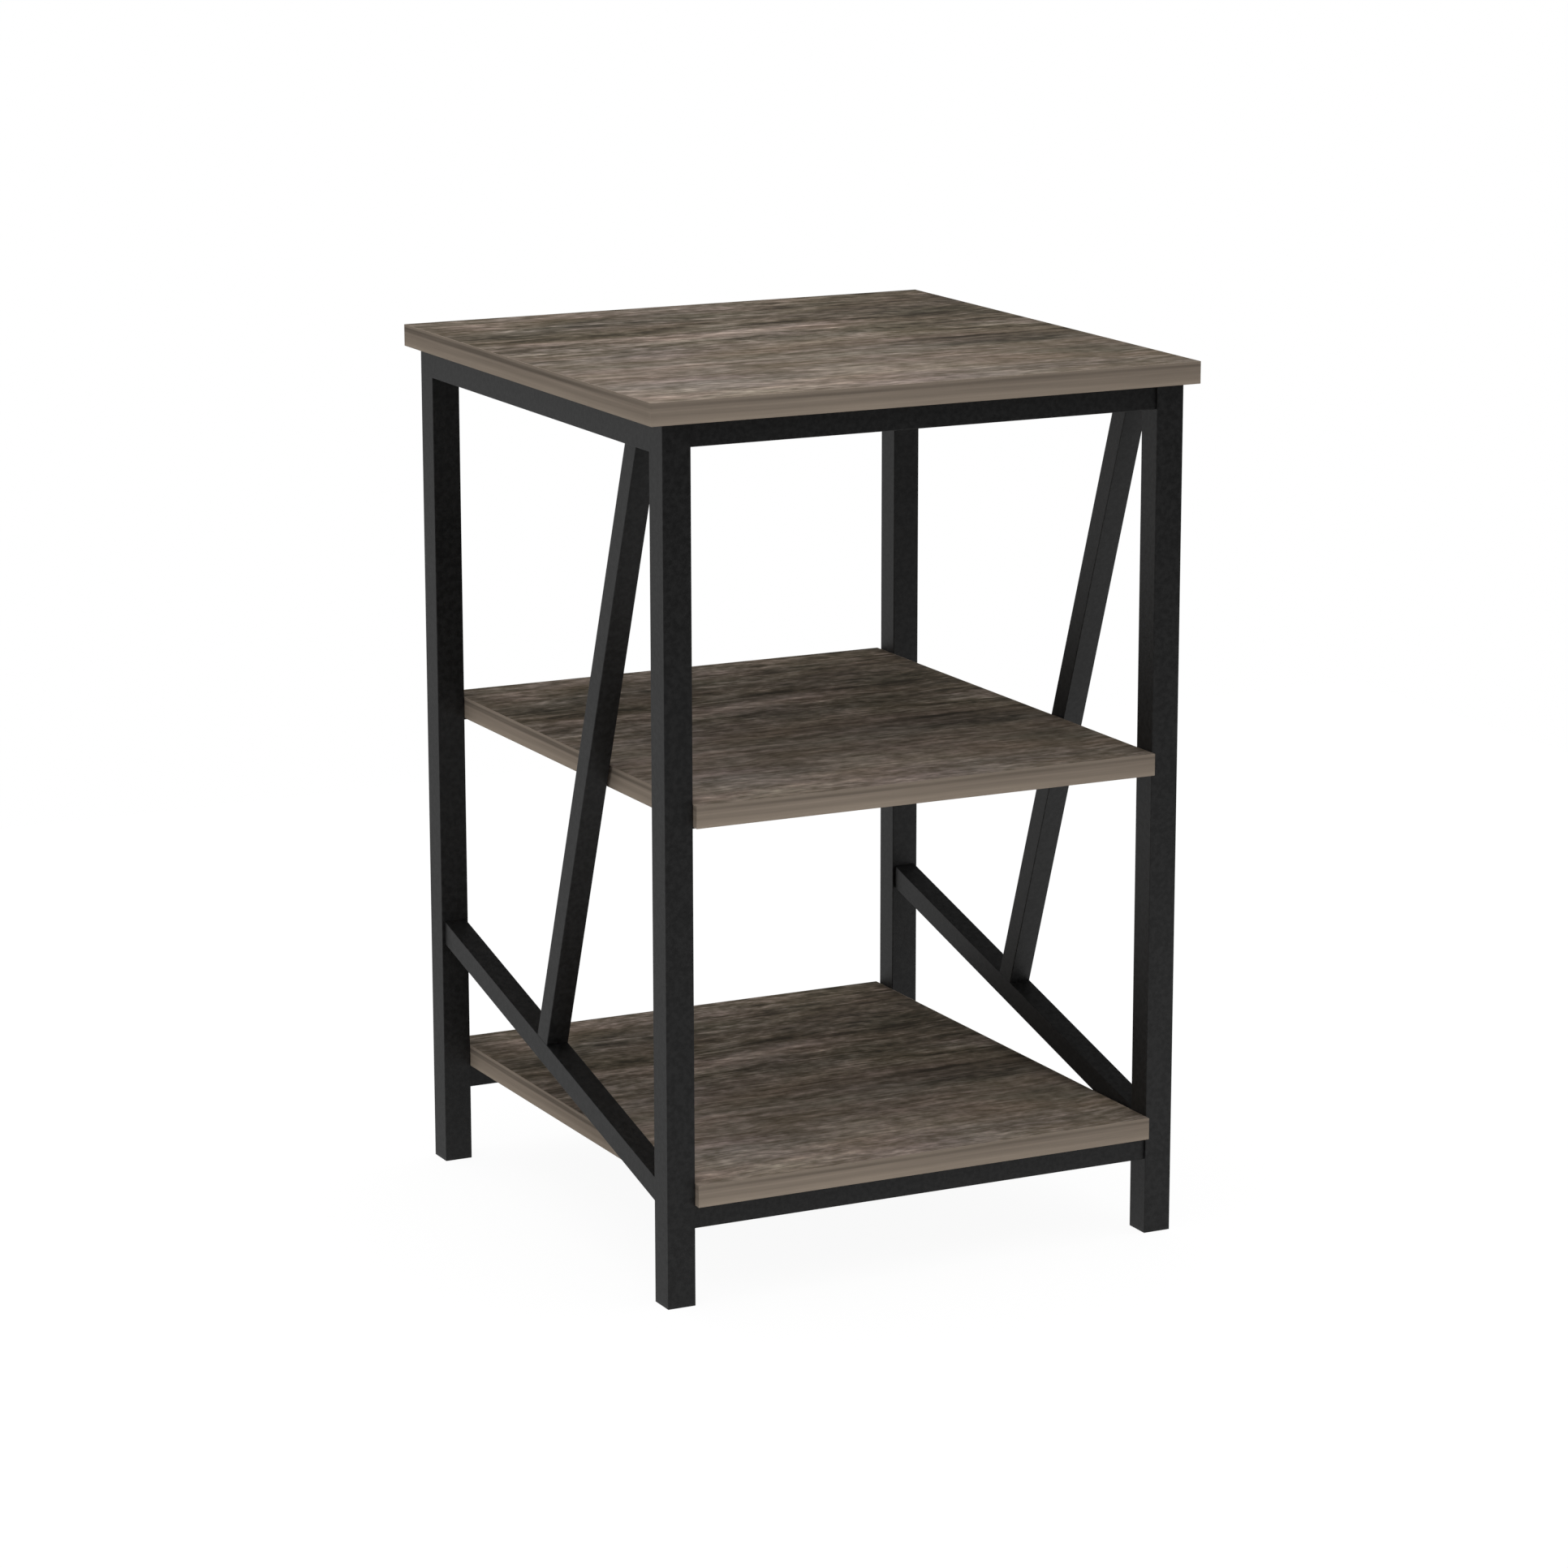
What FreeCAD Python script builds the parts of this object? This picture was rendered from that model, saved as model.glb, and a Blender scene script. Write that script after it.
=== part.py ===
import FreeCAD, Part
import math
import os

# Square three-tier end table with welded tube side frames, in millimetres.
# +X is to the right, the front faces -Y, +Z is up, and the origin is on the floor under the centre.

# Boards
table_height = 600.0
top_board_width = 400.0
board_depth = 400.0
board_thickness = 15.0
band_thickness = 0.5
band_edge_radius = 0.3
side_overhang = 10.0
end_overhang = 5.0
middle_shelf_height = 337.7
shelf_side_clearance = 0.25

# Side frames
leg_side = 20.0
leg_wall = 1.2
brace_side = 16.0
brace_wall = 1.0
tube_corner_radius = 0.5
lower_brace_angle = 15.0
lower_brace_front_height = 66.8
upper_brace_top_reach = 40.3
upper_brace_foot_reach = 191.0

# Cross rails
rail_side = 16.0
rail_wall = 1.0
bottom_rail_height = 52.4
end_plate_thickness = 4.0
end_plate_clearance = 0.1
access_slot_start = 8.0
access_slot_length = 26.0
access_slot_width = 11.0
access_slot_corner_radius = 4.0

# Rail bolts and the rivet nuts in the legs
bolt_diameter = 6.0
bolt_length = 15.0
bolt_head_diameter = 10.0
bolt_head_height = 6.0
bolt_socket_sides = 6
bolt_socket_across_flats = 5.0
bolt_socket_depth = 3.0
nut_flange_diameter = 11.0
nut_flange_thickness = 1.0
nut_body_diameter = 9.0
nut_bulb_diameter = 11.0
nut_bulb_length = 4.0
nut_length = 12.0
fastener_clearance = 0.1
bolt_hole_clearance = 0.25

# Wood screws
screw_diameter = 4.0
screw_bite = 10.0
screw_head_diameter = 8.0
screw_head_height = 1.5
screw_head_fillet = 0.9
screw_point_length = 3.0
screw_recess_width = 1.0
screw_recess_length = 4.4
screw_recess_depth = 0.9
screw_hole_clearance = 0.25
screw_access_clearance = 1.0
rail_screw_spacing = 220.0

# Tabs under the middle shelf
tab_reach = 26.0
tab_width = 14.0
tab_thickness = 1.5
tab_corner_radius = 4.0
tab_hole_reach = 16.0

# Foot caps
cap_flange_thickness = 2.5
cap_plug_length = 14.0
cap_plug_wall = 1.6
cap_fin_height = 1.2
cap_fin_depth = 1.4
cap_fin_clearance = 0.1
cap_fin_count = 3

# Cuts run this far past the faces that they open
cut_overrun = 1.0

# An edge counts as upright when this share of its direction is along Z
upright_share = 0.99

# Places worked out from the sizes above
frame_top = table_height - board_thickness
frame_width = top_board_width + 2 * band_thickness - 2 * side_overhang
frame_depth = board_depth + 2 * band_thickness - 2 * end_overhang
half_frame_width = frame_width / 2
half_frame_depth = frame_depth / 2
leg_centre_x = half_frame_width - leg_side / 2
leg_centre_y = half_frame_depth - leg_side / 2
clear_width = frame_width - 2 * leg_side
clear_depth = frame_depth - 2 * leg_side
shelf_board_width = clear_width - 2 * shelf_side_clearance - 2 * band_thickness
side_rail_underside = frame_top - leg_side
top_rail_height = frame_top - rail_side
bottom_shelf_underside = bottom_rail_height + rail_side
middle_shelf_underside = middle_shelf_height - board_thickness
tab_height = middle_shelf_underside - tab_thickness
plug_side = leg_side - 2 * leg_wall - 2 * cap_fin_depth

SIDES = (("left", -1), ("right", 1))
ENDS = (("front", -1), ("rear", 1))
UP = FreeCAD.Vector(0, 0, 1)
X_AXIS = FreeCAD.Vector(1, 0, 0)


def centred_box(width, depth, height, centre_x=0, centre_y=0, bottom=0):
    """A box centred on its place in plan, standing on the given height."""
    corner = FreeCAD.Vector(centre_x - width / 2, centre_y - depth / 2, bottom)
    return Part.makeBox(width, depth, height, corner)


def upright_cylinder(diameter, height, centre_x=0, centre_y=0, bottom=0):
    return Part.makeCylinder(diameter / 2, height, FreeCAD.Vector(centre_x, centre_y, bottom), UP)


def upright_edges(shape):
    """The straight edges of a shape that run along Z."""
    edges = []
    for edge in shape.Edges:
        if isinstance(edge.Curve, Part.Line) and abs(edge.Curve.Direction.z) > upright_share:
            edges.append(edge)
    return edges


def rounded_post(side, height, centre_y=0, bottom=0):
    """A square post along Z with long edges as round as the tube's."""
    post = centred_box(side, side, height, 0, centre_y, bottom)
    return post.makeFillet(tube_corner_radius, upright_edges(post))


def square_tube(side, wall, length, centre_y=0, bottom=0):
    """A square tube along Z, with the inside open from end to end."""
    outside = rounded_post(side, length, centre_y, bottom)
    bore_side = side - 2 * wall
    bore_length = length + 2 * cut_overrun
    bore = centred_box(bore_side, bore_side, bore_length, 0, centre_y, bottom - cut_overrun)
    return outside.cut(bore)


def placed(shape, base, axis=UP, angle=0):
    """A copy of the shape, turned about an axis through its own origin and moved to a place."""
    copy = shape.copy()
    copy.Placement = FreeCAD.Placement(base, FreeCAD.Rotation(axis, angle))
    return copy


def along_x(shape, base, direction=1):
    """A copy of a shape built along Z, laid along X towards +X or -X."""
    return placed(shape, base, FreeCAD.Vector(0, 1, 0), 90 * direction)


# Boards and their edge bands

def screw_places_on_rails():
    """Where the rail screws stand in plan: two on each front and rear rail."""
    places = []
    for _, end in ENDS:
        for _, side in SIDES:
            places.append((side * rail_screw_spacing / 2, end * leg_centre_y))
    return places


def screw_places_on_tabs():
    """Where the tab screws stand in plan: one at each leg."""
    reach = half_frame_width - leg_side - tab_hole_reach
    places = []
    for _, end in ENDS:
        for _, side in SIDES:
            places.append((side * reach, end * leg_centre_y))
    return places


def board(width, underside, screw_places):
    """One board with a blind pilot hole in its underside for each screw."""
    shape = centred_box(width, board_depth, board_thickness, bottom=underside)
    hole_diameter = screw_diameter + 2 * fastener_clearance
    hole_depth = screw_bite + fastener_clearance
    for x, y in screw_places:
        hole = upright_cylinder(hole_diameter, hole_depth + cut_overrun, x, y, underside - cut_overrun)
        shape = shape.cut(hole)
    return shape


def edge_bands(width, underside):
    """The four strips round a board: the side strips first, the front and rear ones over their ends."""
    full_width = width + 2 * band_thickness
    full_depth = board_depth + 2 * band_thickness
    outside = centred_box(full_width, full_depth, board_thickness, bottom=underside)
    outside = outside.makeFillet(band_edge_radius, outside.Edges)
    strips = []
    for _, side in SIDES:
        x = side * (width + band_thickness) / 2
        strip = centred_box(band_thickness, board_depth, board_thickness, x, 0, underside)
        strips.append(outside.common(strip))
    for _, end in ENDS:
        y = end * (board_depth + band_thickness) / 2
        strip = centred_box(full_width, band_thickness, board_thickness, 0, y, underside)
        strips.append(outside.common(strip))
    return Part.makeCompound(strips)


# Side frames

def nut_hole(side, y, z):
    """The hole through a leg's inner wall for a rivet nut."""
    diameter = nut_body_diameter + 2 * fastener_clearance
    start = FreeCAD.Vector(side * (clear_width / 2 - cut_overrun), y, z)
    return Part.makeCylinder(diameter / 2, leg_wall + 2 * cut_overrun, start, X_AXIS * side)


def rail_centre_heights():
    return (bottom_rail_height + rail_side / 2, top_rail_height + rail_side / 2)


def leg(side, end):
    """A full-height leg, with a hole in its inner face for each cross rail's rivet nut."""
    tube = square_tube(leg_side, leg_wall, frame_top - cap_flange_thickness)
    shape = placed(tube, FreeCAD.Vector(side * leg_centre_x, end * leg_centre_y, cap_flange_thickness))
    for z in rail_centre_heights():
        shape = shape.cut(nut_hole(side, end * leg_centre_y, z))
    return shape


def side_top_rail(side):
    """The rail welded between a side's two legs, flush with their tops and coped to their round edges."""
    length = clear_depth + 2 * tube_corner_radius
    tube = square_tube(leg_side, leg_wall, length)
    base = FreeCAD.Vector(side * leg_centre_x, length / 2, frame_top - leg_side / 2)
    rail = placed(tube, base, X_AXIS, 90)
    post = rounded_post(leg_side, table_height)
    for _, end in ENDS:
        rail = rail.cut(placed(post, FreeCAD.Vector(side * leg_centre_x, end * leg_centre_y, 0)))
    return rail


def lower_brace_upper_edge(y):
    """Height of the lower brace's upper face at a place between the front and the rear."""
    slope = math.radians(lower_brace_angle)
    rise = (y + clear_depth / 2) * math.tan(slope)
    return lower_brace_front_height + rise + brace_side / math.cos(slope)


def lower_brace(side):
    """The long brace, with both ends cut upright to seat on the legs."""
    slope = math.radians(lower_brace_angle)
    middle_height = lower_brace_upper_edge(0) - brace_side / math.cos(slope) / 2
    length = clear_depth / math.cos(slope) + 2 * brace_side
    tube = square_tube(brace_side, brace_wall, length, bottom=-length / 2)
    base = FreeCAD.Vector(side * leg_centre_x, 0, middle_height)
    slanted = placed(tube, base, X_AXIS, lower_brace_angle - 90)
    between_legs = centred_box(frame_width, clear_depth, table_height, side * leg_centre_x)
    return slanted.common(between_legs)


def upper_brace(side):
    """The steep brace, cut level under the side's top rail and coped to the lower brace's slope."""
    front = -clear_depth / 2
    top_y = front + upper_brace_top_reach
    foot_y = front + upper_brace_foot_reach
    foot_z = lower_brace_upper_edge(foot_y)
    tilt = math.atan2(foot_y - top_y, side_rail_underside - foot_z)
    spare = 2 * brace_side
    length = math.hypot(foot_y - top_y, side_rail_underside - foot_z) + 2 * spare
    # the rear face passes through the two points above, so the axis lies half a side in front of them
    tube = square_tube(brace_side, brace_wall, length, -brace_side / 2, -spare)
    base = FreeCAD.Vector(side * leg_centre_x, foot_y, foot_z)
    slanted = placed(tube, base, X_AXIS, math.degrees(tilt))
    below_rail = centred_box(frame_width, frame_depth, side_rail_underside, side * leg_centre_x)
    lower_half = centred_box(frame_width, frame_depth, table_height, bottom=-table_height)
    under_seat = placed(lower_half, base, X_AXIS, lower_brace_angle)
    return slanted.common(below_rail).cut(under_seat)


def shelf_tab(side, end):
    """A plate welded by its edge to a leg's inner face, rounded at its free end, with one screw hole."""
    centre_x = side * (clear_width / 2 - tab_reach / 2)
    plate = centred_box(tab_reach, tab_width, tab_thickness, centre_x, end * leg_centre_y, tab_height)
    free_edges = []
    for edge in upright_edges(plate):
        if abs(edge.CenterOfMass.x) < clear_width / 2 - tab_reach / 2:
            free_edges.append(edge)
    plate = plate.makeFillet(tab_corner_radius, free_edges)
    hole_x = side * (clear_width / 2 - tab_hole_reach)
    hole_diameter = screw_diameter + 2 * screw_hole_clearance
    hole_height = tab_thickness + 2 * cut_overrun
    hole_bottom = tab_height - cut_overrun
    hole = upright_cylinder(hole_diameter, hole_height, hole_x, end * leg_centre_y, hole_bottom)
    return plate.cut(hole)


def foot_cap(side, end):
    """A plastic cap: a base as wide as the leg and a hollow plug with fins that grip the tube's inside."""
    base = rounded_post(leg_side, cap_flange_thickness)
    plug = centred_box(plug_side, plug_side, cap_plug_length, bottom=cap_flange_thickness)
    fin_side = leg_side - 2 * leg_wall - 2 * cap_fin_clearance
    fin_step = cap_plug_length / cap_fin_count
    cap = base.fuse(plug)
    for number in range(cap_fin_count):
        fin_bottom = cap_flange_thickness + (number + 1) * fin_step - cap_fin_height
        cap = cap.fuse(centred_box(fin_side, fin_side, cap_fin_height, bottom=fin_bottom))
    hollow_side = plug_side - 2 * cap_plug_wall
    hollow_depth = cap_plug_length + cut_overrun
    hollow = centred_box(hollow_side, hollow_side, hollow_depth, bottom=cap_flange_thickness)
    cap = cap.cut(hollow).removeSplitter()
    return placed(cap, FreeCAD.Vector(side * leg_centre_x, end * leg_centre_y, 0))


# Cross rails and what joins them to the side frames

def rail_screw_seat(underside):
    """The height at which a screw's head bears on the inside of a rail's upper wall."""
    return underside + rail_side - rail_wall


def rail_at(end, underside):
    """A cross rail between the side frames, open below for the tools that reach its screws and bolts."""
    tube = square_tube(rail_side, rail_wall, clear_width)
    centre_z = underside + rail_side / 2
    shape = along_x(tube, FreeCAD.Vector(-clear_width / 2, end * leg_centre_y, centre_z))
    y = end * leg_centre_y
    cut_bottom = underside - cut_overrun
    cut_height = rail_wall + 2 * cut_overrun
    hole_diameter = screw_diameter + 2 * screw_hole_clearance
    access_diameter = screw_head_diameter + 2 * screw_access_clearance
    for _, side in SIDES:
        hole_x = side * rail_screw_spacing / 2
        hole_bottom = rail_screw_seat(underside) - cut_overrun
        shape = shape.cut(upright_cylinder(hole_diameter, cut_height, hole_x, y, hole_bottom))
        shape = shape.cut(upright_cylinder(access_diameter, cut_height, hole_x, y, cut_bottom))
        slot_x = side * (clear_width / 2 - access_slot_start - access_slot_length / 2)
        slot = centred_box(access_slot_length, access_slot_width, cut_height, slot_x, y, cut_bottom)
        shape = shape.cut(slot.makeFillet(access_slot_corner_radius, upright_edges(slot)))
    return shape


def end_plate(side, end, centre_z):
    """A plate in a rail's end, bored for the bolt and recessed for the rivet nut's flange."""
    plate_side = rail_side - 2 * rail_wall - 2 * end_plate_clearance
    plate = centred_box(plate_side, plate_side, end_plate_thickness)
    hole_diameter = bolt_diameter + 2 * bolt_hole_clearance
    hole_length = end_plate_thickness + 2 * cut_overrun
    recess_diameter = nut_flange_diameter + 2 * bolt_hole_clearance
    recess_length = nut_flange_thickness + cut_overrun
    plate = plate.cut(upright_cylinder(hole_diameter, hole_length, bottom=-cut_overrun))
    plate = plate.cut(upright_cylinder(recess_diameter, recess_length, bottom=-cut_overrun))
    return along_x(plate, FreeCAD.Vector(side * clear_width / 2, end * leg_centre_y, centre_z), -side)


def end_plates(end, underside):
    plates = []
    for _, side in SIDES:
        plates.append(end_plate(side, end, underside + rail_side / 2))
    return Part.makeCompound(plates)


def rail_bolt():
    """A socket-head bolt along Z: the shank below its seat at the origin and the head above it."""
    shank = upright_cylinder(bolt_diameter, bolt_length, bottom=-bolt_length)
    head = upright_cylinder(bolt_head_diameter, bolt_head_height)
    socket_radius = bolt_socket_across_flats / 2 / math.cos(math.pi / bolt_socket_sides)
    socket_bottom = bolt_head_height - bolt_socket_depth
    corners = []
    for number in range(bolt_socket_sides):
        turn = 2 * math.pi * number / bolt_socket_sides
        x = socket_radius * math.cos(turn)
        y = socket_radius * math.sin(turn)
        corners.append(FreeCAD.Vector(x, y, socket_bottom))
    outline = Part.makePolygon(corners + corners[:1])
    socket = Part.Face(outline).extrude(UP * (bolt_socket_depth + cut_overrun))
    return shank.fuse(head).cut(socket)


def rivet_nut():
    """A flanged insert along Z: the flange above the origin, the body and its set bulb below."""
    flange = upright_cylinder(nut_flange_diameter, nut_flange_thickness)
    body = upright_cylinder(nut_body_diameter, nut_length, bottom=-nut_length)
    bulb = upright_cylinder(nut_bulb_diameter, nut_bulb_length, bottom=-leg_wall - nut_bulb_length)
    thread_diameter = bolt_diameter + 2 * fastener_clearance
    thread_length = nut_length + nut_flange_thickness + 2 * cut_overrun
    thread = upright_cylinder(thread_diameter, thread_length, bottom=-nut_length - cut_overrun)
    return flange.fuse(body).fuse(bulb).cut(thread).removeSplitter()


def at_rail_ends(shape, inset):
    """A copy of a fastener at each rail end, its +Z pointing inward, set in from the leg's inner face."""
    copies = []
    for z in rail_centre_heights():
        for _, end in ENDS:
            for _, side in SIDES:
                base = FreeCAD.Vector(side * (clear_width / 2 - inset), end * leg_centre_y, z)
                copies.append(along_x(shape, base, -side))
    return Part.makeCompound(copies)


# Wood screws

def wood_screw(grip):
    """A pan-head screw along Z: the head below its seat at the origin, the shank and point above."""
    head = upright_cylinder(screw_head_diameter, screw_head_height, bottom=-screw_head_height)
    rim = []
    for edge in head.Edges:
        if isinstance(edge.Curve, Part.Circle) and edge.CenterOfMass.z < -screw_head_height / 2:
            rim.append(edge)
    head = head.makeFillet(screw_head_fillet, rim)
    recess_height = screw_recess_depth + cut_overrun
    recess_bottom = -screw_head_height - cut_overrun
    arms = ((screw_recess_width, screw_recess_length), (screw_recess_length, screw_recess_width))
    for width, depth in arms:
        head = head.cut(centred_box(width, depth, recess_height, bottom=recess_bottom))
    straight = grip + screw_bite - screw_point_length
    shank = upright_cylinder(screw_diameter, straight)
    point = Part.makeCone(screw_diameter / 2, 0, screw_point_length, FreeCAD.Vector(0, 0, straight), UP)
    return head.fuse(shank).fuse(point)


def screws_at(places, seat_height, grip):
    screw = wood_screw(grip)
    copies = []
    for x, y in places:
        copies.append(placed(screw, FreeCAD.Vector(x, y, seat_height)))
    return Part.makeCompound(copies)


def build():
    """Every piece of the table, by its node's name."""
    pieces = {}
    boards = (
        ("top_panel", top_board_width, frame_top, screw_places_on_rails()),
        ("middle_shelf", shelf_board_width, middle_shelf_underside, screw_places_on_tabs()),
        ("bottom_shelf", shelf_board_width, bottom_shelf_underside, screw_places_on_rails()),
    )
    for name, width, underside, screw_places in boards:
        pieces[name] = board(width, underside, screw_places)
        pieces[name + "_edge_bands"] = edge_bands(width, underside)
    for side_name, side in SIDES:
        pieces[side_name + "_top_rail"] = side_top_rail(side)
        pieces[side_name + "_lower_brace"] = lower_brace(side)
        pieces[side_name + "_upper_brace"] = upper_brace(side)
        for end_name, end in ENDS:
            corner = end_name + "_" + side_name
            pieces[corner + "_leg"] = leg(side, end)
            pieces[corner + "_shelf_tab"] = shelf_tab(side, end)
            pieces[corner + "_foot_cap"] = foot_cap(side, end)
    for end_name, end in ENDS:
        for level_name, underside in (("top", top_rail_height), ("bottom", bottom_rail_height)):
            rail_name = end_name + "_" + level_name + "_rail"
            pieces[rail_name] = rail_at(end, underside)
            pieces[rail_name + "_end_plates"] = end_plates(end, underside)
    pieces["rail_bolts"] = at_rail_ends(rail_bolt(), end_plate_thickness)
    pieces["rivet_nuts"] = at_rail_ends(rivet_nut(), 0)
    for name, underside in (("top_panel", top_rail_height), ("bottom_shelf", bottom_rail_height)):
        seat_height = rail_screw_seat(underside)
        pieces[name + "_screws"] = screws_at(screw_places_on_rails(), seat_height, rail_wall)
    pieces["middle_shelf_screws"] = screws_at(screw_places_on_tabs(), tab_height, tab_thickness)
    return pieces


os.makedirs("parts", exist_ok=True)
for node, shape in build().items():
    shape.exportStep(os.path.join("parts", node + ".step"))
    print(node, len(shape.Solids), "solids", round(shape.Volume / 1000, 2), "cm3", shape.isValid())
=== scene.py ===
import math

import bpy
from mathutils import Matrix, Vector


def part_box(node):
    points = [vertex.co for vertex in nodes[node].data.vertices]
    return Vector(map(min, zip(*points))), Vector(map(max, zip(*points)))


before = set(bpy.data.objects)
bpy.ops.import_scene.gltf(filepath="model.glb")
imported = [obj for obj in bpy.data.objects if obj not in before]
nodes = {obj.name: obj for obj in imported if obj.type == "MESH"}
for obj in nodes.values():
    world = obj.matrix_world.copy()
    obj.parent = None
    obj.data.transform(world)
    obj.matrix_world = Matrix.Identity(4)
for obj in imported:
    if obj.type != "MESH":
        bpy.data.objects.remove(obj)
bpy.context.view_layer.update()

# Camera: where it looks, from how far and from which side, in metres and degrees, and its lens in millimetres
view_aim = Vector((0.0129, -0.0066, 0.2275))
view_distance = 3.6066
view_azimuth = -26.955
view_elevation = 14.0
camera_lens = 119.44
camera_sensor = 36.0
camera_shift_x = -0.01935
camera_shift_y = 0.05924

# Light: the soft sky at the horizon and overhead, how late it rises between them, and what counts as white
horizon_strength = 0.30
zenith_strength = 2.03
sky_power = 3
white_strength = 1.0
plain_white = (1.0, 1.0, 1.0, 1.0)

# What gloss sees of the surround: the floor is white to the right of the table, and the rest is dimmer. The
# floor's fade runs rightward from one place to another, in metres. The sky's fades run by direction, one
# rightward less rearward and the other upward.
floor_left_gloss_share = 0.65
rear_left_gloss_share = 0.74
front_right_gloss_share = 0.14
sky_gloss_share = 0.20
floor_side_fade = (0.19, 0.47)
side_fade_shares = (-0.6, 0.6)
sky_fade_shares = (-0.05, 0.20)

# Floor: its side, its own tone, the share of it that glows where it is seen, and how bright it is in the open
floor_side = 2.6
floor_albedo = 0.8
floor_glow_share = 0.9
floor_white = 1.02

# Noise: its middle, how many finer layers it has, and the part of its range that a speckle uses
noise_middle = 0.5
noise_detail = 2.0
speckle_detail = 3.0
speckle_range = (0.3, 0.7)

# The board that the wood print is laid out on
board_low, board_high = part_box("top_panel")
board_width = board_high.x - board_low.x
board_depth = board_high.y - board_low.y

# Colour of the print: its tone as linear green, red against green, blue against green in its dark and light
# parts, which tones count as dark and light, and the darkest it gets
print_tone = 0.1415
print_red_share = 1.225
print_blue_shares = (0.745, 0.835)
print_tone_shares = (0.6, 1.6)
darkest_tone_share = 0.3

# Patches of the print with more or less red or blue: their length and width, strength, pattern and detail
red_patch_sizes = (0.110, 0.040)
red_patch_share = 0.36
red_patch_pattern = 71.0
blue_patch_sizes = (0.120, 0.045)
blue_patch_share = 0.24
blue_patch_pattern = 83.0
patch_detail = 4.0

# Finish of the print: its roughness in the dark and light parts, its gloss, and the relief of its pores
print_roughness_range = (0.74, 0.66)
print_specular = 0.02
pore_depth = 0.00003
pore_strength = 0.5

# How the ground runs from the rear edge to the front, in steps, as the print does, and from left to right,
# where it gets darker towards the right, each as from, to, start and end
ground_step_shares = (
    (0.00, 0.20, 0.91, 0.76),
    (0.25, 0.45, 0.00, 0.18),
    (0.52, 1.00, 0.00, 0.40),
)
ground_side_shares = (0.50, 0.92, 1.08, 0.74)

# Grain of the print: its flecks' length, width and strength, with thin fibres last, and the step from the
# pattern of one layer to that of the next
grain_layers = (
    (0.260, 0.036, 0.80),
    (0.080, 0.014, 0.95),
    (0.028, 0.0080, 1.20),
    (0.014, 0.0060, 1.40),
    (0.006, 0.0030, 0.70),
    (0.070, 0.0022, 1.30),
    (0.030, 0.0011, 1.10),
)
grain_pattern_step = 11.0

# How the flecks weaken towards the front, as from, to, start and end, and how much of them the streaks show
fleck_shares = (0.40, 0.65, 1.4, 1.0)
streak_fleck_share = 0.4

# How the grain wanders: the length and width of its waves, their height and their pattern
wave_sizes = (0.130, 0.070)
wave_height = 0.020
wave_pattern = 3.0

# Streaks of the print, each as shares of the board: place along the grain, place from the rear edge,
# half length, half width, slant, and how much lighter or darker it is
dark_streak_shares = (
    (0.12, 0.287, 0.14, 0.016, -0.08, -0.36),
    (0.36, 0.262, 0.08, 0.020, -0.15, -0.22),
    (0.55, 0.278, 0.09, 0.013, -0.05, -0.50),
    (0.86, 0.288, 0.15, 0.014, 0.02, -0.28),
    (0.10, 0.380, 0.11, 0.013, 0.00, -0.32),
    (0.40, 0.428, 0.18, 0.013, -0.12, -0.30),
    (0.90, 0.490, 0.12, 0.010, 0.03, -0.42),
    (0.82, 0.560, 0.13, 0.009, -0.06, -0.50),
    (0.84, 0.635, 0.13, 0.045, -0.03, -0.24),
    (0.07, 0.235, 0.09, 0.050, 0.00, -0.14),
    (0.29, 0.325, 0.08, 0.020, -0.10, -0.40),
)
light_streak_shares = (
    (0.36, 0.383, 0.17, 0.019, -0.28, 0.55),
    (0.50, 0.352, 0.11, 0.034, -0.22, 0.80),
    (0.67, 0.322, 0.09, 0.015, -0.05, 0.50),
    (0.13, 0.335, 0.04, 0.022, -0.05, 0.50),
    (0.16, 0.930, 0.30, 0.090, 0.00, 0.10),
    (0.90, 0.465, 0.12, 0.010, 0.00, 0.22),
    (0.70, 0.545, 0.08, 0.014, 0.00, 0.18),
    (0.25, 0.560, 0.12, 0.030, 0.00, 0.10),
)

# Colour of the edge strips: their tone as linear green, red and blue against green, and the bands' ground
strip_tone = 0.240
strip_red_share = 1.215
strip_blue_share = 0.80
strip_ground_share = 0.96

# Bands of a strip: where each fades in and out, as shares of its height from the top, and its strength. The
# dark band reaches lower and gets stronger from the board's front edge to its middle.
dark_start_shares = (0.07, 0.15)
dark_end_shares = (0.19, 0.29)
dark_drop_share = 0.07
dark_band_shares = (0.24, 0.36)
light_start_shares = (0.32, 0.38)
light_end_shares = (0.40, 0.46)
light_line_share = 0.10
pale_start_shares = (0.45, 0.95)
pale_share = 0.24
front_to_middle = (-board_depth / 2, 0.0)

# Waves and flecks of a strip: their length in metres and width as a share of its height, strength and pattern
strip_wave_sizes = (0.200, 1.0)
strip_wave_share = 0.10
strip_wave_pattern = 5.0
strip_fleck_sizes = (0.110, 0.16)
strip_fleck_share = 0.50
strip_fleck_pattern = 17.0
strip_fleck_detail = 3.0

# Painted light on the strips: painted shade that darkens them from left to right as the light falls off, and
# a painted lift that makes the front one paler: from, to, start and end
strip_side_shade_shares = (0.2, 1.0, 1.0, 0.92)
strip_front_light_shares = (0.0, 0.02, 1.05, 1.0)

# Black finishes: how finely the tone varies and between what, the grit's fineness and relief, and the gloss
black_scale = 300.0
black_tones = (0.004, 0.014)
grit_scale = 1400.0
grit_strength = 0.15
grit_height = 0.0002
black_specular = 0.46
powder_roughness = 0.54
plastic_roughness = 0.5

# Zinc: its colour, and how finely its roughness varies and between what
zinc_colour = (0.60, 0.61, 0.62, 1.0)
zinc_scale = 600.0
zinc_roughness_range = (0.25, 0.45)


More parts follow.
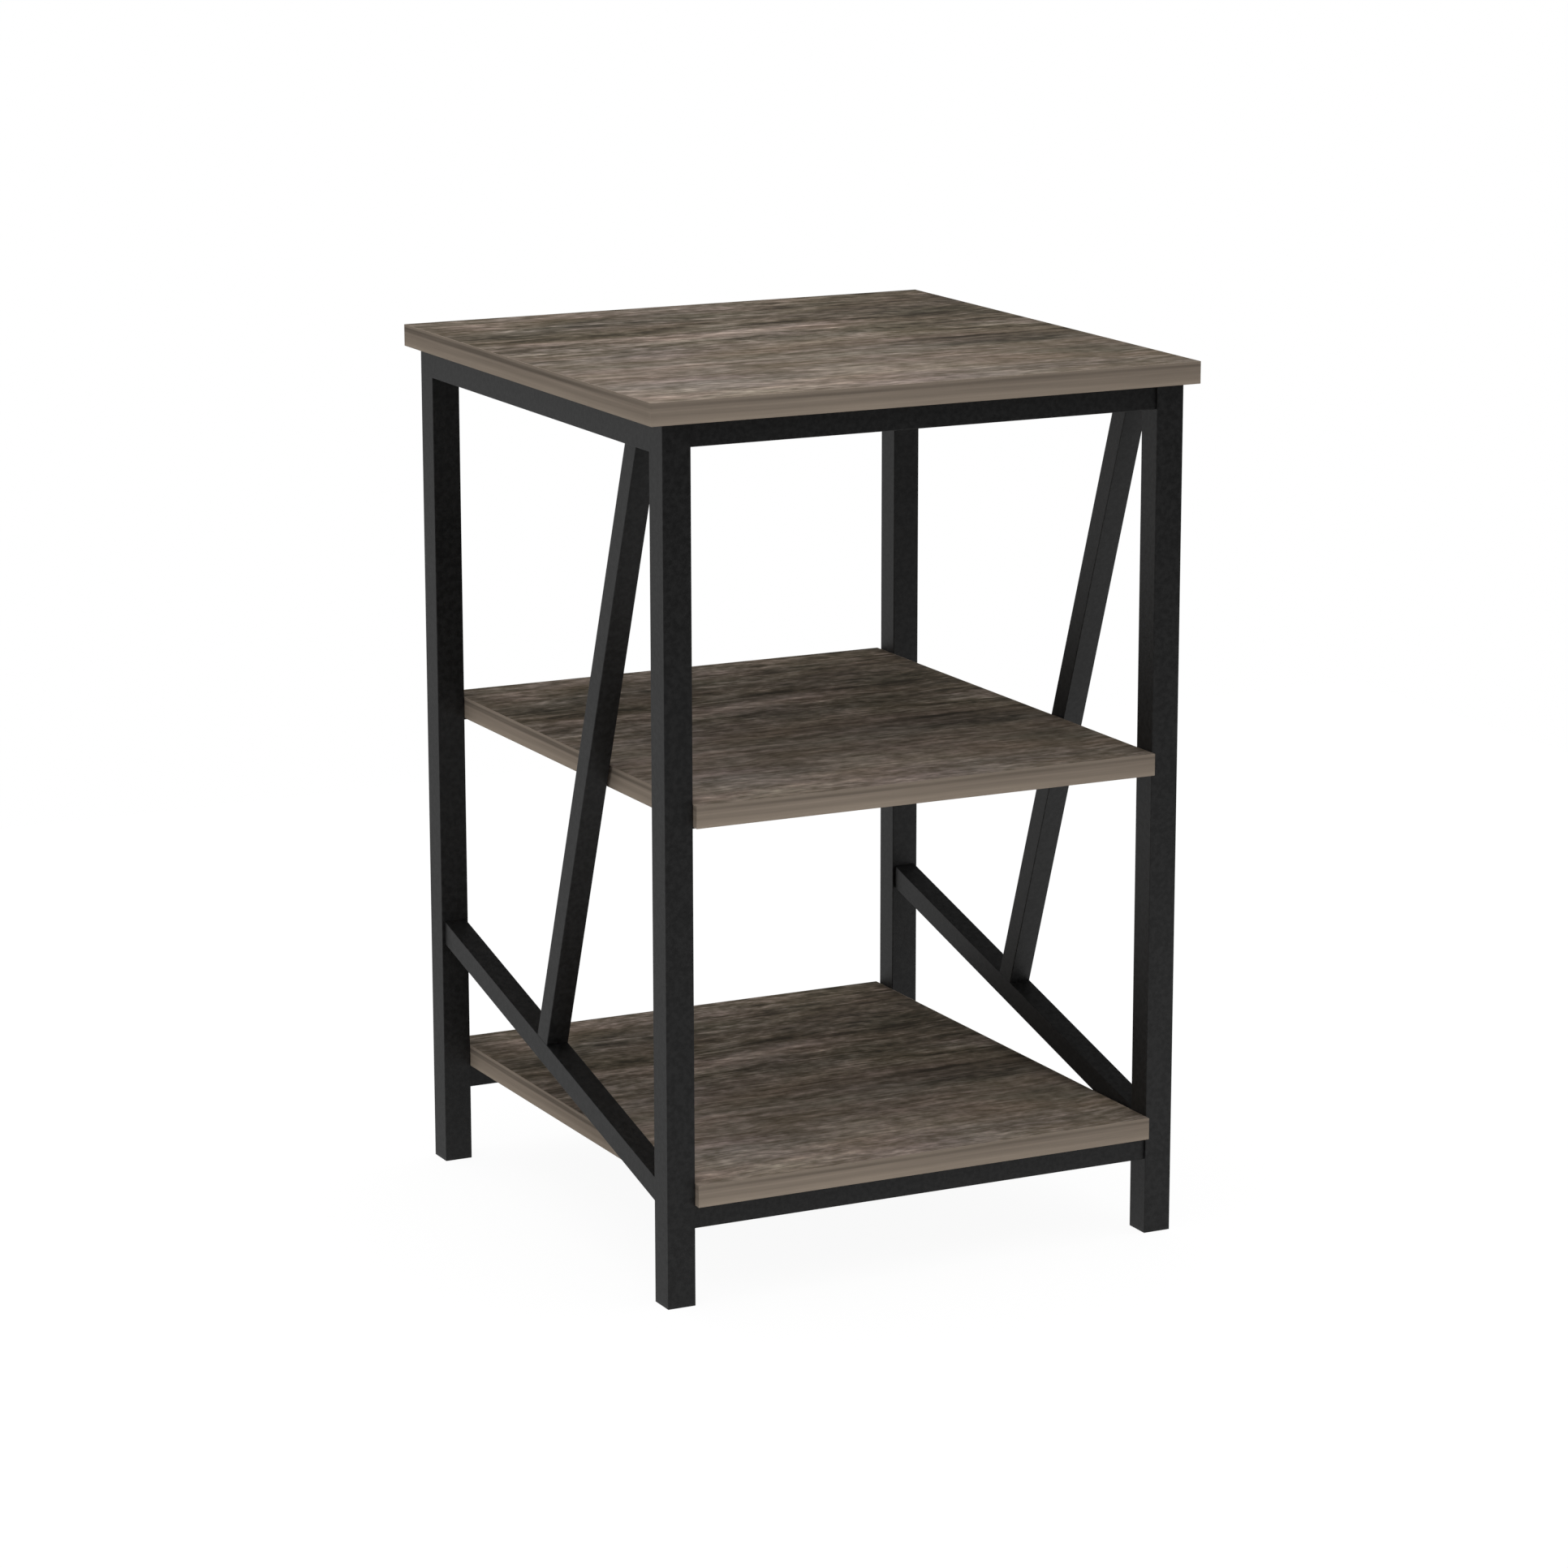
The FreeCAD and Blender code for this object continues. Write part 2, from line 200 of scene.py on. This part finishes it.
class Field:
    """A value that varies over a surface, with arithmetic that adds the nodes for it."""

    def __init__(self, graph, socket):
        self.graph = graph
        self.socket = socket

    def __add__(self, other):
        return self.graph.math("ADD", self, other)

    def __sub__(self, other):
        return self.graph.math("SUBTRACT", self, other)

    def __rsub__(self, other):
        return self.graph.math("SUBTRACT", other, self)

    def __mul__(self, other):
        return self.graph.math("MULTIPLY", self, other)

    def __truediv__(self, other):
        return self.graph.math("DIVIDE", self, other)


class Graph:
    """A node tree, with short ways to add what the materials and the world here need."""

    def __init__(self, tree):
        self.tree = tree

    def node(self, kind, inputs=None, **settings):
        made = self.tree.nodes.new(kind)
        for name, value in settings.items():
            setattr(made, name, value)
        for name, value in (inputs or {}).items():
            self.feed(made.inputs[name], value)
        return made

    def feed(self, socket, value):
        """Links a field or a socket to an input, or sets the input to a plain value."""
        if isinstance(value, Field):
            value = value.socket
        if isinstance(value, bpy.types.NodeSocket):
            self.tree.links.new(value, socket)
        else:
            socket.default_value = value

    def math(self, operation, *values):
        made = self.node("ShaderNodeMath", operation=operation)
        for socket, value in zip(made.inputs, values):
            self.feed(socket, value)
        return Field(self, made.outputs[0])

    def exponential(self, value):
        return self.math("POWER", math.e, value)

    def coordinates(self, kind):
        """The three coordinates of a point, in the given kind of texture space."""
        source = self.node("ShaderNodeTexCoord")
        split = self.node("ShaderNodeSeparateXYZ", {"Vector": source.outputs[kind]})
        return [Field(self, output) for output in split.outputs]

    def noise(self, along, across, sizes, pattern, detail=noise_detail):
        """Smooth noise about zero, with blotches of the given length and width, in one of many patterns."""
        length, width = sizes
        scaled = (along / length, across / width, pattern)
        place = self.node("ShaderNodeCombineXYZ", dict(zip("XYZ", scaled)))
        made = self.node("ShaderNodeTexNoise", {"Vector": place.outputs[0], "Scale": 1.0, "Detail": detail})
        return Field(self, made.outputs[0]) - noise_middle

    def speckle(self, scale, low, high):
        """Fine noise in all directions, from low to high."""
        source = self.node("ShaderNodeTexCoord").outputs["Object"]
        made = self.node("ShaderNodeTexNoise", {"Vector": source, "Scale": scale, "Detail": speckle_detail})
        return self.ramp(Field(self, made.outputs[0]), *speckle_range, low, high)

    def ramp(self, value, low, high, start=0.0, end=1.0):
        """A smooth step from start to end as the value goes from low to high."""
        names = ("Value", "From Min", "From Max", "To Min", "To Max")
        inputs = dict(zip(names, (value, low, high, start, end)))
        made = self.node("ShaderNodeMapRange", inputs, interpolation_type="SMOOTHSTEP")
        return Field(self, made.outputs[0])

    def colour(self, red, green, blue):
        return self.node("ShaderNodeCombineColor", {"Red": red, "Green": green, "Blue": blue}).outputs[0]

    def dimmed_in_gloss(self, share):
        """The given share for mirrored rays and one for the rest."""
        glossy = self.node("ShaderNodeLightPath").outputs["Is Glossy Ray"]
        return (share - 1.0) * Field(self, glossy) + 1.0

    def seen_directly(self):
        """One for rays from the camera and for mirrored or refracted ones, zero for the rest."""
        path = self.node("ShaderNodeLightPath").outputs
        glossy = self.math("MAXIMUM", path["Is Camera Ray"], path["Is Glossy Ray"])
        return self.math("MAXIMUM", glossy, path["Is Transmission Ray"])


def new_material(name):
    """A material with an empty node tree, and the graph that fills it."""
    material = bpy.data.materials.new(name)
    material.use_nodes = True
    material.node_tree.nodes.clear()
    return material, Graph(material.node_tree)


def finish_material(material, graph, shader):
    output = graph.node("ShaderNodeOutputMaterial")
    graph.feed(output.inputs["Surface"], shader.outputs[0])
    return material


def streak(graph, along, depth, shares):
    """A soft stroke along the grain: full at its middle line and fading to nothing round it."""
    place, from_rear, half_length, half_width, slant, strength = shares
    run = (along - place * board_width) / (half_length * board_width)
    rise = slant * half_length * board_depth
    offset = (depth - from_rear * board_depth - run * rise) / (half_width * board_depth)
    return graph.exponential(0.0 - (run * run + offset * offset)) * strength


def print_ground(graph, x_share, depth_share):
    """The ground tone, with the print's slow change from darkest behind the middle to lightest in front. It
    is also darker towards the right.
    """
    tone = 0.0
    for shares in ground_step_shares:
        tone = graph.ramp(depth_share, *shares) + tone
    return tone * graph.ramp(x_share, *ground_side_shares)


def print_flecks(graph, along, grain, depth_share):
    """The fine light and dark flecks of the grain, stronger towards the rear."""
    flecks = 0.0
    for number, (length, width, strength) in enumerate(grain_layers):
        pattern = grain_pattern_step * (number + 1)
        flecks = graph.noise(along, grain, (length, width), pattern) * strength + flecks
    return flecks * graph.ramp(depth_share, *fleck_shares)


def matte_print(material, graph, colour, tone, relief):
    """Printed paper with a faint relief, a little rougher where the print is dark."""
    bump = graph.node("ShaderNodeBump", {"Strength": pore_strength, "Distance": pore_depth, "Height": relief})
    roughness = graph.ramp(tone, *print_tone_shares, *print_roughness_range)
    inputs = {"Base Color": colour, "Normal": bump.outputs[0], "Roughness": roughness}
    shader = graph.node("ShaderNodeBsdfPrincipled", inputs)
    shader.inputs["Specular IOR Level"].default_value = print_specular
    return finish_material(material, graph, shader)


def wood_print():
    """Weathered grey-brown oak print with the grain along the board's width."""
    material, graph = new_material("wood_print")
    x_share, y_share, _ = graph.coordinates("Generated")
    depth_share = 1.0 - y_share
    along = x_share * board_width
    depth = depth_share * board_depth
    grain = graph.noise(along, depth, wave_sizes, wave_pattern) * wave_height + depth
    flecks = print_flecks(graph, along, grain, depth_share)
    tone = print_ground(graph, x_share, depth_share) * graph.exponential(flecks)
    streak_flecks = graph.exponential(flecks * streak_fleck_share)
    for shares in dark_streak_shares + light_streak_shares:
        tone = tone + streak(graph, along, grain, shares) * streak_flecks
    tone = graph.math("MAXIMUM", tone, darkest_tone_share)
    red_patches = graph.noise(along, grain, red_patch_sizes, red_patch_pattern, patch_detail)
    blue_patches = graph.noise(along, grain, blue_patch_sizes, blue_patch_pattern, patch_detail)
    red_share = red_patches * red_patch_share + print_red_share
    blue_share = blue_patches * blue_patch_share + graph.ramp(tone, *print_tone_shares, *print_blue_shares)
    green = tone * print_tone
    colour = graph.colour(green * red_share, green, green * blue_share)
    return matte_print(material, graph, colour, tone, flecks)


def edge_band():
    """The strip on a board's edges: a dark band near the top, a thin light line under it, paler below."""
    material, graph = new_material("edge_band")
    x, y, _ = graph.coordinates("Object")
    x_share, y_share, height = graph.coordinates("Generated")
    along = x + y
    wave = graph.noise(along, height, strip_wave_sizes, strip_wave_pattern) * strip_wave_share
    level = 1.0 - height + wave
    dark_level = level - graph.ramp(y, *front_to_middle, 0.0, dark_drop_share)
    dark = graph.ramp(level, *dark_start_shares) * graph.ramp(dark_level, *dark_end_shares, 1.0, 0.0)
    light = graph.ramp(level, *light_start_shares) * graph.ramp(level, *light_end_shares, 1.0, 0.0)
    tone = strip_ground_share - dark * graph.ramp(y, *front_to_middle, *dark_band_shares)
    tone = tone + light * light_line_share + graph.ramp(level, *pale_start_shares) * pale_share
    flecks = graph.noise(along, height, strip_fleck_sizes, strip_fleck_pattern, strip_fleck_detail)
    tone = tone + flecks * strip_fleck_share
    # Painted light: painted shade darkens each strip towards the right, and the front strip is painted paler
    tone = tone * graph.ramp(x_share, *strip_side_shade_shares) * graph.ramp(y_share, *strip_front_light_shares)
    green = tone * strip_tone
    colour = graph.colour(green * strip_red_share, green, green * strip_blue_share)
    return matte_print(material, graph, colour, tone, flecks)


def black_finish(name, roughness):
    """Matte black with a fine texture, for the powder coat and the plastic."""
    material, graph = new_material(name)
    tone = graph.speckle(black_scale, *black_tones)
    grit = graph.speckle(grit_scale, 0.0, 1.0)
    bump = graph.node("ShaderNodeBump", {"Strength": grit_strength, "Distance": grit_height, "Height": grit})
    inputs = {"Base Color": graph.colour(tone, tone, tone), "Normal": bump.outputs[0], "Roughness": roughness}
    shader = graph.node("ShaderNodeBsdfPrincipled", inputs)
    shader.inputs["Specular IOR Level"].default_value = black_specular
    return finish_material(material, graph, shader)


def zinc_steel():
    """Bright zinc-plated steel of the screws, bolts and nuts."""
    material, graph = new_material("zinc_steel")
    inputs = {"Roughness": graph.speckle(zinc_scale, *zinc_roughness_range), "Metallic": 1.0}
    shader = graph.node("ShaderNodeBsdfPrincipled", inputs)
    shader.inputs["Base Color"].default_value = zinc_colour
    return finish_material(material, graph, shader)


def paint_nodes():
    """Gives each CAD node the finish of its material slot."""
    finishes = {
        "wood_print": wood_print(),
        "edge_band": edge_band(),
        "black_powder_coat": black_finish("black_powder_coat", powder_roughness),
        "black_plastic": black_finish("black_plastic", plastic_roughness),
        "zinc_steel": zinc_steel(),
    }
    packed = {name: obj.data.materials[0].name.split(".")[0] for name, obj in nodes.items()}
    for name, obj in nodes.items():
        obj.material_slots[0].material = finishes[packed[name]]


def light_the_scene():
    """A soft sky, brightest overhead, that is white where it is seen and dimmer in gloss."""
    world = bpy.data.worlds.new("studio")
    bpy.context.scene.world = world
    world.use_nodes = True
    graph = Graph(world.node_tree)
    rightward, rearward, upward = graph.coordinates("Generated")
    climb = graph.math("POWER", graph.math("MAXIMUM", upward, 0.0), sky_power)
    sky = climb * (zenith_strength - horizon_strength) + horizon_strength
    side = graph.ramp(rightward - rearward, *side_fade_shares, rear_left_gloss_share, front_right_gloss_share)
    above = graph.ramp(upward, *sky_fade_shares, 1.0, sky_gloss_share)
    white = graph.dimmed_in_gloss(side * above) * white_strength
    strength = (white - sky) * graph.seen_directly() + sky
    background = world.node_tree.nodes["Background"]
    background.inputs["Color"].default_value = plain_white
    graph.feed(background.inputs["Strength"], strength)


def lay_floor():
    """A pale floor that is white in the open and keeps a faint shadow of the object."""
    material, graph = new_material("floor")
    # What the whole sky gives level ground, and what the part that doesn't glow makes of it
    level_light = horizon_strength + (zenith_strength - horizon_strength) * 2 / (sky_power + 2)
    open_floor = (1.0 - floor_glow_share) * floor_albedo * level_light
    glow_strength = (floor_white - open_floor) / floor_glow_share
    x, _, _ = graph.coordinates("Object")
    dimming = graph.dimmed_in_gloss(graph.ramp(x, *floor_side_fade, floor_left_gloss_share, 1.0))
    matte = graph.node("ShaderNodeBsdfDiffuse", {"Color": (floor_albedo, floor_albedo, floor_albedo, 1.0)})
    glow = graph.node("ShaderNodeEmission", {"Color": plain_white, "Strength": dimming * glow_strength})
    share = graph.seen_directly() * floor_glow_share
    mixed = graph.node("ShaderNodeMixShader", {0: share, 1: matte.outputs[0], 2: glow.outputs[0]})
    bpy.ops.mesh.primitive_plane_add(size=floor_side)
    floor = bpy.context.object
    floor.name = "floor"
    floor.data.materials.append(finish_material(material, graph, mixed))


def place_camera():
    """A long lens at the front left, looking down a little."""
    azimuth = math.radians(view_azimuth)
    elevation = math.radians(view_elevation)
    level = math.cos(elevation)
    back = Vector((math.sin(azimuth) * level, -math.cos(azimuth) * level, math.sin(elevation)))
    data = bpy.data.cameras.new("photo_view")
    data.sensor_width = camera_sensor
    data.lens = camera_lens
    data.shift_x = camera_shift_x
    data.shift_y = camera_shift_y
    camera = bpy.data.objects.new("photo_view", data)
    camera.location = view_aim + back * view_distance
    camera.rotation_euler = (math.pi / 2 - elevation, 0.0, azimuth)
    bpy.context.scene.collection.objects.link(camera)
    bpy.context.scene.camera = camera


paint_nodes()
light_the_scene()
lay_floor()
place_camera()
bpy.context.scene.view_settings.view_transform = "Standard"
